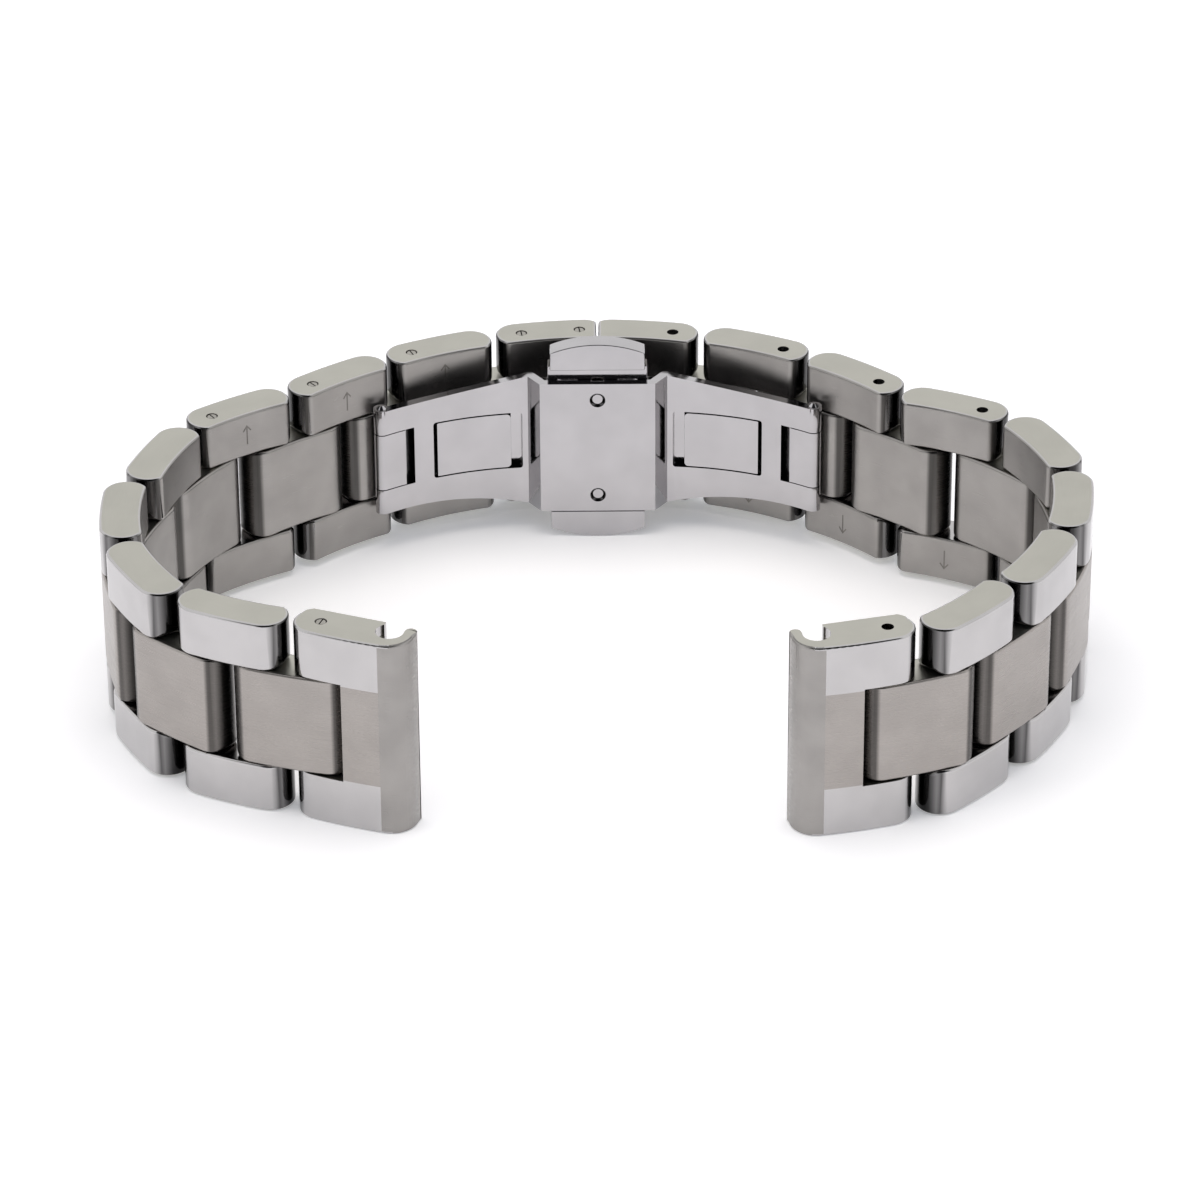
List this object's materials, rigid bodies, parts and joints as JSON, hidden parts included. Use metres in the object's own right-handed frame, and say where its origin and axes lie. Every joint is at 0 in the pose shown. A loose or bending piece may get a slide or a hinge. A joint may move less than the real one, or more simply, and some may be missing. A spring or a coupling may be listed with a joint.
{
  "type": "watch bracelet",
  "caption": "Link watch bracelet of polished and brushed steel links, with straight end links bored for spring bars and a hidden push-button butterfly clasp, standing open on its edge.",
  "frame": {"origin": "centre of the bracelet in plan, on the plane of the edge it stands on", "axes": "+X along the clasp and the longest extent, +Y from the open front to the clasp, +Z across the bracelet width, upwards as it stands"},
  "size_m": [0.0933, 0.0655, 0.0214],
  "materials": {
    "side_link_steel": "polished outer faces, satin edges and satin inner faces",
    "centre_link_steel": "brushed along the bracelet",
    "end_link_steel": "polished bands beside a brushed middle, satin tip",
    "clasp_steel": "polished",
    "pin_steel": "drawn wire, ends dressed flush",
    "spring_steel": "bright drawn wire"
  },
  "bodies": {
    "clasp_base": {"clasp_base_plate": "clasp_steel", "clasp_pins": "pin_steel", "upper_spring": "spring_steel", "lower_spring": "spring_steel"},
    "upper_button": {"upper_button": "clasp_steel"},
    "lower_button": {"lower_button": "clasp_steel"},
    "left_clasp_arm": {"left_clasp_arm": "clasp_steel"},
    "left_pair_1": {"left_side_pair_1": "side_link_steel", "left_pins_1": "pin_steel"},
    "left_centre_1": {"left_centre_link_1": "centre_link_steel"},
    "left_pair_2": {"left_side_pair_2": "side_link_steel", "left_pins_2": "pin_steel"},
    "left_centre_2": {"left_centre_link_2": "centre_link_steel"},
    "left_pair_3": {"left_side_pair_3": "side_link_steel", "left_pins_3": "pin_steel"},
    "left_centre_3": {"left_centre_link_3": "centre_link_steel"},
    "left_pair_4": {"left_side_pair_4": "side_link_steel", "left_pins_4": "pin_steel"},
    "left_centre_4": {"left_centre_link_4": "centre_link_steel"},
    "left_pair_5": {"left_side_pair_5": "side_link_steel", "left_pins_5": "pin_steel"},
    "left_centre_5": {"left_centre_link_5": "centre_link_steel"},
    "left_pair_6": {"left_side_pair_6": "side_link_steel", "left_pins_6": "pin_steel"},
    "left_centre_6": {"left_centre_link_6": "centre_link_steel"},
    "left_pair_7": {"left_side_pair_7": "side_link_steel", "left_pins_7": "pin_steel"},
    "left_centre_7": {"left_centre_link_7": "centre_link_steel"},
    "left_pair_8": {"left_side_pair_8": "side_link_steel", "left_pins_8": "pin_steel"},
    "left_centre_8": {"left_centre_link_8": "centre_link_steel"},
    "left_end": {"left_end_link": "end_link_steel", "left_end_pin": "pin_steel"},
    "right_clasp_arm": {"right_clasp_arm": "clasp_steel"},
    "right_pair_1": {"right_side_pair_1": "side_link_steel", "right_pins_1": "pin_steel"},
    "right_centre_1": {"right_centre_link_1": "centre_link_steel"},
    "right_pair_2": {"right_side_pair_2": "side_link_steel", "right_pins_2": "pin_steel"},
    "right_centre_2": {"right_centre_link_2": "centre_link_steel"},
    "right_pair_3": {"right_side_pair_3": "side_link_steel", "right_pins_3": "pin_steel"},
    "right_centre_3": {"right_centre_link_3": "centre_link_steel"},
    "right_pair_4": {"right_side_pair_4": "side_link_steel", "right_pins_4": "pin_steel"},
    "right_centre_4": {"right_centre_link_4": "centre_link_steel"},
    "right_pair_5": {"right_side_pair_5": "side_link_steel", "right_pins_5": "pin_steel"},
    "right_centre_5": {"right_centre_link_5": "centre_link_steel"},
    "right_pair_6": {"right_side_pair_6": "side_link_steel", "right_pins_6": "pin_steel"},
    "right_centre_6": {"right_centre_link_6": "centre_link_steel"},
    "right_pair_7": {"right_side_pair_7": "side_link_steel", "right_pins_7": "pin_steel"},
    "right_centre_7": {"right_centre_link_7": "centre_link_steel"},
    "right_pair_8": {"right_side_pair_8": "side_link_steel", "right_pins_8": "pin_steel"},
    "right_centre_8": {"right_centre_link_8": "centre_link_steel"},
    "right_end": {"right_end_link": "end_link_steel", "right_end_pin": "pin_steel"}
  },
  "joints": [
    {"name": "left_clasp_hinge", "type": "hinge", "parent": "clasp_base", "child": "left_clasp_arm", "pos_m": [-0.02109, 0.02037, 0.01], "axis": [0, 0, 1], "range_deg": [0, 165]},
    {"name": "left_pin_0", "type": "hinge", "parent": "left_clasp_arm", "child": "left_pair_1", "pos_m": [-0.00177, 0.03038, 0.01], "axis": [0, 0, 1], "range_deg": [-165, 0]},
    {"name": "left_pin_1", "type": "hinge", "parent": "left_pair_1", "child": "left_centre_1", "pos_m": [-0.00748, 0.02968, 0.01], "axis": [0, 0, -1], "range_deg": [0, 27]},
    {"name": "left_pin_2", "type": "hinge", "parent": "left_centre_1", "child": "left_pair_2", "pos_m": [-0.01291, 0.02781, 0.01], "axis": [0, 0, 1], "range_deg": [-19, 0]},
    {"name": "left_pin_3", "type": "hinge", "parent": "left_pair_2", "child": "left_centre_2", "pos_m": [-0.01821, 0.02557, 0.01], "axis": [0, 0, -1], "range_deg": [0, 25]},
    {"name": "left_pin_4", "type": "hinge", "parent": "left_centre_2", "child": "left_pair_3", "pos_m": [-0.02303, 0.02243, 0.01], "axis": [0, 0, 1], "range_deg": [-7, 12]},
    {"name": "left_pin_5", "type": "hinge", "parent": "left_pair_3", "child": "left_centre_3", "pos_m": [-0.02762, 0.01897, 0.01], "axis": [0, 0, -1], "range_deg": [-31, 14]},
    {"name": "left_pin_6", "type": "hinge", "parent": "left_centre_3", "child": "left_pair_4", "pos_m": [-0.03227, 0.01559, 0.01], "axis": [0, 0, 1], "range_deg": [-13, 32]},
    {"name": "left_pin_7", "type": "hinge", "parent": "left_pair_4", "child": "left_centre_4", "pos_m": [-0.03704, 0.01238, 0.01], "axis": [0, 0, -1], "range_deg": [-8, 37]},
    {"name": "left_pin_8", "type": "hinge", "parent": "left_centre_4", "child": "left_pair_5", "pos_m": [-0.04025, 0.00761, 0.01], "axis": [0, 0, 1], "range_deg": [-28, 17]},
    {"name": "left_pin_9", "type": "hinge", "parent": "left_pair_5", "child": "left_centre_5", "pos_m": [-0.04231, 0.00224, 0.01], "axis": [0, 0, -1], "range_deg": [-29, 16]},
    {"name": "left_pin_10", "type": "hinge", "parent": "left_centre_5", "child": "left_pair_6", "pos_m": [-0.04428, -0.00316, 0.01], "axis": [0, 0, 1], "range_deg": [-36, 9]},
    {"name": "left_pin_11", "type": "hinge", "parent": "left_pair_6", "child": "left_centre_6", "pos_m": [-0.04418, -0.00891, 0.01], "axis": [0, 0, -1], "range_deg": [-19, 26]},
    {"name": "left_pin_12", "type": "hinge", "parent": "left_centre_6", "child": "left_pair_7", "pos_m": [-0.04299, -0.01453, 0.01], "axis": [0, 0, 1], "range_deg": [-32, 13]},
    {"name": "left_pin_13", "type": "hinge", "parent": "left_pair_7", "child": "left_centre_7", "pos_m": [-0.0402, -0.01956, 0.01], "axis": [0, 0, -1], "range_deg": [-9, 36]},
    {"name": "left_pin_14", "type": "hinge", "parent": "left_centre_7", "child": "left_pair_8", "pos_m": [-0.03579, -0.02326, 0.01], "axis": [0, 0, 1], "range_deg": [-31, 14]},
    {"name": "left_pin_15", "type": "hinge", "parent": "left_pair_8", "child": "left_centre_8", "pos_m": [-0.03054, -0.0256, 0.01], "axis": [0, 0, -1], "range_deg": [-24, 21]},
    {"name": "left_pin_16", "type": "hinge", "parent": "left_centre_8", "child": "left_end", "pos_m": [-0.02507, -0.02738, 0.01], "axis": [0, 0, 1], "range_deg": [-12, 33]},
    {"name": "right_clasp_hinge", "type": "hinge", "parent": "clasp_base", "child": "right_clasp_arm", "pos_m": [0.02105, 0.02037, 0.01], "axis": [0, 0, -1], "range_deg": [0, 165]},
    {"name": "right_pin_0", "type": "hinge", "parent": "right_clasp_arm", "child": "right_pair_1", "pos_m": [0.00173, 0.03038, 0.01], "axis": [0, 0, -1], "range_deg": [-165, 0]},
    {"name": "right_pin_1", "type": "hinge", "parent": "right_pair_1", "child": "right_centre_1", "pos_m": [0.00744, 0.02968, 0.01], "axis": [0, 0, 1], "range_deg": [0, 24]},
    {"name": "right_pin_2", "type": "hinge", "parent": "right_centre_1", "child": "right_pair_2", "pos_m": [0.01297, 0.0281, 0.01], "axis": [0, 0, -1], "range_deg": [-23, 0]},
    {"name": "right_pin_3", "type": "hinge", "parent": "right_pair_2", "child": "right_centre_2", "pos_m": [0.01822, 0.02576, 0.01], "axis": [0, 0, 1], "range_deg": [0, 26]},
    {"name": "right_pin_4", "type": "hinge", "parent": "right_centre_2", "child": "right_pair_3", "pos_m": [0.02293, 0.02246, 0.01], "axis": [0, 0, -1], "range_deg": [-7, 12]},
    {"name": "right_pin_5", "type": "hinge", "parent": "right_pair_3", "child": "right_centre_3", "pos_m": [0.02727, 0.01869, 0.01], "axis": [0, 0, 1], "range_deg": [-32, 13]},
    {"name": "right_pin_6", "type": "hinge", "parent": "right_centre_3", "child": "right_pair_4", "pos_m": [0.03174, 0.01507, 0.01], "axis": [0, 0, -1], "range_deg": [-1, 44]},
    {"name": "right_pin_7", "type": "hinge", "parent": "right_pair_4", "child": "right_centre_4", "pos_m": [0.03695, 0.01264, 0.01], "axis": [0, 0, 1], "range_deg": [-11, 34]},
    {"name": "right_pin_8", "type": "hinge", "parent": "right_centre_4", "child": "right_pair_5", "pos_m": [0.04108, 0.00865, 0.01], "axis": [0, 0, -1], "range_deg": [-36, 9]},
    {"name": "right_pin_9", "type": "hinge", "parent": "right_pair_5", "child": "right_centre_5", "pos_m": [0.04351, 0.00344, 0.01], "axis": [0, 0, 1], "range_deg": [-13, 32]},
    {"name": "right_pin_10", "type": "hinge", "parent": "right_centre_5", "child": "right_pair_6", "pos_m": [0.04431, -0.00226, 0.01], "axis": [0, 0, -1], "range_deg": [-29, 16]},
    {"name": "right_pin_11", "type": "hinge", "parent": "right_pair_6", "child": "right_centre_6", "pos_m": [0.04371, -0.00798, 0.01], "axis": [0, 0, 1], "range_deg": [-17, 28]},
    {"name": "right_pin_12", "type": "hinge", "parent": "right_centre_6", "child": "right_pair_7", "pos_m": [0.04184, -0.01341, 0.01], "axis": [0, 0, -1], "range_deg": [-25, 20]},
    {"name": "right_pin_13", "type": "hinge", "parent": "right_pair_7", "child": "right_centre_7", "pos_m": [0.03905, -0.01844, 0.01], "axis": [0, 0, 1], "range_deg": [-19, 26]},
    {"name": "right_pin_14", "type": "hinge", "parent": "right_centre_7", "child": "right_pair_8", "pos_m": [0.03536, -0.02285, 0.01], "axis": [0, 0, -1], "range_deg": [-19, 26]},
    {"name": "right_pin_15", "type": "hinge", "parent": "right_pair_8", "child": "right_centre_8", "pos_m": [0.03136, -0.02698, 0.01], "axis": [0, 0, 1], "range_deg": [-4, 41]},
    {"name": "right_pin_16", "type": "hinge", "parent": "right_centre_8", "child": "right_end", "pos_m": [0.02596, -0.02895, 0.01], "axis": [0, 0, -1], "range_deg": [-21, 24]},
    {"name": "upper_button_press", "type": "slide", "parent": "clasp_base", "child": "upper_button", "axis": [0, 0, -1], "range_m": [0, 0.00145], "stiffness_N_per_m": 150, "springref_m": -0.0005, "deforming": ["upper_spring"]},
    {"name": "lower_button_release", "type": "slide", "parent": "clasp_base", "child": "lower_button", "axis": [0, 0, -1], "range_m": [0, 0.00145], "stiffness_N_per_m": 100, "springref_m": 0.00145, "deforming": ["lower_spring"]}
  ],
  "couplings": [
    {"joint": "left_clasp_hinge", "follows": "left_pin_0", "ratio": -1},
    {"joint": "right_clasp_hinge", "follows": "right_pin_0", "ratio": -1}
  ]
}
